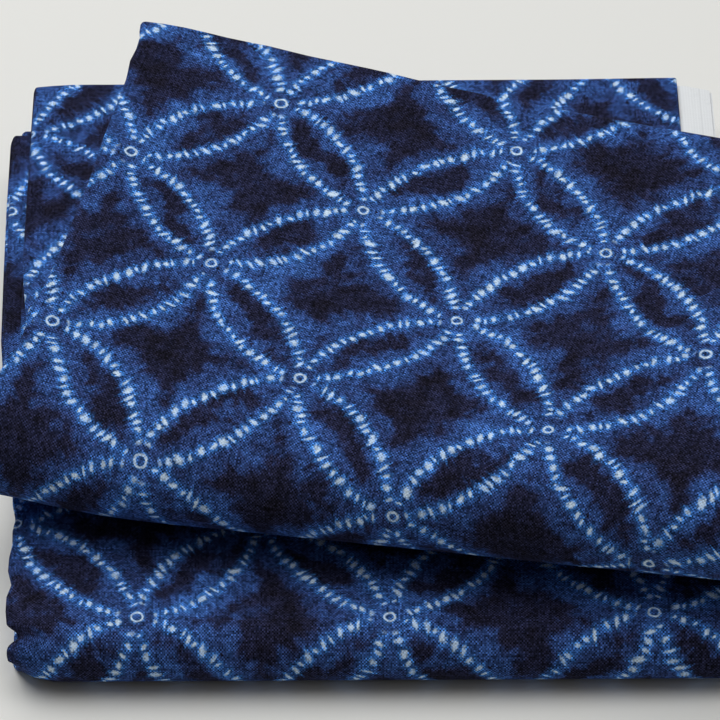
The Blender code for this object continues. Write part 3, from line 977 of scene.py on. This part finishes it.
def darkness(u, v, flat, off_a, off_b, finger_a, finger_b):
    """How much dye the ground took, from 0 to 1."""
    pushed_a = (u + v) / (2 * NODE_STEP) + noise(flat, 40.0, 4.0, 11.0) * 0.62
    pushed_b = (v - u) / (2 * NODE_STEP) + noise(flat, 40.0, 4.0, 12.0) * 0.62
    from_a = (pushed_a - (pushed_a + 0.5).floor()) * PETAL
    from_b = (pushed_b - (pushed_b + 0.5).floor()) * PETAL
    half = PETAL / 2
    aside_a, aside_b = half - from_a.size(), half - from_b.size()
    star = aside_a.most(aside_b) - aside_a.math("MINIMUM", aside_b) * 0.22
    inside_a = distance((half - from_a.size()) / INSIDE_LONG, from_b / INSIDE_WIDE)
    inside_b = distance((half - from_b.size()) / INSIDE_LONG, from_a / INSIDE_WIDE)
    nearer_a = off_a.size().math("LESS_THAN", off_b.size())
    finger = finger_b + (finger_a - finger_b) * nearer_a
    star_dye = (star + finger * 17.0).step(STAR_REACH + 4.5, STAR_REACH - 4.5)
    inside_dye = inside_a.most(-1.0).math("MINIMUM", inside_b)
    inside_dye = (inside_dye + finger * 2.2).step(1.45, 0.65) * 0.9
    clouds = noise(flat, 34.0, 3.0, 13.0) * 1.05 + noise(flat, 150.0, 3.0, 14.0) * 0.95
    near_arc = off_a.size().math("MINIMUM", off_b.size()).step(7.0, 3.0)
    specks = noise(flat, 330.0, 1.0, 15.0).step(0.14, 0.22) * near_arc
    return (star_dye.most(inside_dye) * 0.47 + 0.34 + clouds * 0.95).most(specks * 0.9)


# %% The cotton's material
def cotton_material():
    material = bpy.data.materials.new("indigo_cotton")
    material.use_nodes = True
    Wire.tree = material.node_tree
    shader = material.node_tree.nodes["Principled BSDF"]
    for name, value in (("Roughness", 0.95), ("Specular IOR Level", 0.08)):
        shader.inputs[name].default_value = value

    flat = Wire.node("ShaderNodeUVMap", {"uv_map": "cloth"})
    u = Wire.node("ShaderNodeSeparateXYZ", (), {"Vector": flat})
    v = u.output(1)
    to_edge = Wire.node("ShaderNodeSeparateXYZ", (),
                        {"Vector": Wire.node("ShaderNodeUVMap", {"uv_map": "edge"})})
    fray = noise(flat, 1100.0, 2.0, 1.0)
    drawn_u = u + noise(flat, 24.0, 2.0, 2.0) * 0.0034
    drawn_v = v + noise(flat, 24.0, 2.0, 3.0) * 0.0034
    a = (drawn_u + drawn_v) / (2 * NODE_STEP)
    b = (drawn_v - drawn_u) / (2 * NODE_STEP)
    core_a, halo_a, streak_a, band_a, off_a, finger_a = stitched_arcs(a, b, 0.0, fray)
    core_b, halo_b, streak_b, band_b, off_b, finger_b = stitched_arcs(b, a, 40.0, fray)

    true_a, true_b = (u + v) / (2 * NODE_STEP), (v - u) / (2 * NODE_STEP)
    from_ring = distance((true_a - (true_a + 0.5).floor()) * PETAL,
                         (true_b - (true_b + 0.5).floor()) * PETAL)
    ring_chance, unused, also_unused = chances(vector((true_a + 0.5).floor(),
                                                      (true_b + 0.5).floor(), 3.5))
    ring_radius = ring_chance * (RING_RADII[1] - RING_RADII[0]) + RING_RADII[0]
    off_ring = (from_ring + noise(flat, 420.0, 1.0, 4.0) * 1.1 - ring_radius).size()
    ring = off_ring.step(0.66, 0.15) * (noise(flat, 500.0, 1.0, 5.0) * 1.6 + 0.95)
    ring_halo = off_ring.step(1.7, 0.2)

    dye = darkness(u, v, flat, off_a, off_b, finger_a, finger_b)
    colour = Wire.node("ShaderNodeValToRGB", {"stops": GROUND}, {"Fac": dye})
    colour = mix_colour(band_a.most(band_b) * 0.5, colour, BAND_BLUE)
    colour = mix_colour(streak_a.most(streak_b) * 0.62, colour, BAND_BLUE)
    colour = mix_colour(halo_a.most(halo_b).most(ring_halo * 0.5) * 0.88, colour, HALO_BLUE)

    warp, weft = (u * (np.pi / THREAD)).math("SINE"), (v * (np.pi / THREAD)).math("SINE")
    weave = warp * weft
    slubs = (noise(vector(u * 1300.0, v * 40.0), 1.0, 1.0, 7.0)
             + noise(vector(u * 40.0, v * 1300.0), 1.0, 1.0, 8.0))
    crossing, unused, also_unused = chances(vector((u / THREAD).floor(), (v / THREAD).floor()))
    shade = (crossing * 1.5 + 0.25) * (weave * 0.75 + 1.0) * (slubs * 1.3 + 1.0)
    colour = mix_colour(1.0, colour, grey(shade), "MULTIPLY")
    core = core_a.most(core_b).most(ring * 0.85)
    core_shade = ((shade - 1.0) * 0.38 + 1.0).math("MINIMUM", 1.04)
    colour = mix_colour(core, colour, mix_colour(1.0, WHITE, grey(core_shade), "MULTIPLY"))

    edge_rib = (to_edge * (2 * np.pi / 0.0011)).math("SINE") * 0.02
    # A thin line about 4 mm in from the woven edge is painted darker: painted shade of a groove
    # that has no relief of its own in the mesh or the bump.
    groove_painted_shade = (to_edge - 0.0042).size().step(0.0006, 0.0002) * -0.06
    undyed_shade = edge_rib + groove_painted_shade + slubs * 0.08 + 1.0
    undyed = mix_colour(1.0, UNDYED, grey(undyed_shade), "MULTIPLY")
    colour = mix_colour((to_edge + fray * 0.0012).step(0.0160, 0.0150), colour, undyed)
    Wire.tree.links.new(colour.socket, shader.inputs["Base Color"])

    pinch = core_a.most(core_b) * -0.10 + band_a.most(band_b) * 0.06
    soft = noise(flat, 120.0, 2.0, 9.0) * 0.35 + (finger_a + finger_b) * 0.10
    relief = weave * 0.035 + slubs * 0.05 + pinch + soft
    bump = Wire.node("ShaderNodeBump", (), {"Strength": 1.0, "Distance": 0.001, "Height": relief})
    Wire.tree.links.new(bump.socket, shader.inputs["Normal"])
    print("nodes in the cotton:", len(material.node_tree.nodes))
    return material


cloth.data.materials.clear()
cloth.data.materials.append(cotton_material())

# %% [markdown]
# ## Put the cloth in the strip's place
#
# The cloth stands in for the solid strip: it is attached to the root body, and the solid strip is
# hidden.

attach(cloth, "root")
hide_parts("folded_cloth")

# %% [markdown]
# ## Floor and light
#
# The cloth lies on a plain pale table. The light comes from a large soft source above and
# behind it, so the front folds fall into shade and a soft shadow lies before them. The room
# gives a little light too, most of it from the ceiling, so that the shade isn't black.

# %% Floor and lights
FLOOR_SIZE = 6.0


def add_floor():
    bpy.ops.object.select_all(action="DESELECT")
    bpy.ops.mesh.primitive_plane_add(size=FLOOR_SIZE, location=(0.0, 0.0, 0.0))
    floor = bpy.context.object
    floor.name = "floor"
    material = bpy.data.materials.new("pale_table")
    material.use_nodes = True
    shader = material.node_tree.nodes["Principled BSDF"]
    shader.inputs["Base Color"].default_value = paint(232, 232, 228)
    shader.inputs["Roughness"].default_value = 0.8
    floor.data.materials.append(material)
    return floor


def add_light(name, place, target, size, power):
    lamp = bpy.data.lights.new(name, "AREA")
    lamp.shape = "RECTANGLE"
    lamp.size, lamp.size_y = size
    lamp.energy = power
    light = bpy.data.objects.new(name, lamp)
    bpy.context.scene.collection.objects.link(light)
    light.location = place
    direction = Vector(target) - Vector(place)
    light.rotation_euler = direction.to_track_quat("-Z", "Y").to_euler()
    return light


floor = add_floor()
add_light("softbox", (-0.45, 0.64, 2.00), (0.0, 0.0, 0.0), (2.2, 2.5), 49.0)
world = bpy.data.worlds.new("room")
bpy.context.scene.world = world
world.use_nodes = True
Wire.tree = world.node_tree
room = world.node_tree.nodes["Background"]
room.inputs["Color"].default_value = (1.0, 1.0, 1.0, 1.0)
looking = Wire.node("ShaderNodeTexCoord")
up = Wire.node("ShaderNodeSeparateXYZ", (), {"Vector": looking}).output(2).most(0.0)
Wire.tree.links.new((up * up * 0.30 + 0.02).socket, room.inputs["Strength"])
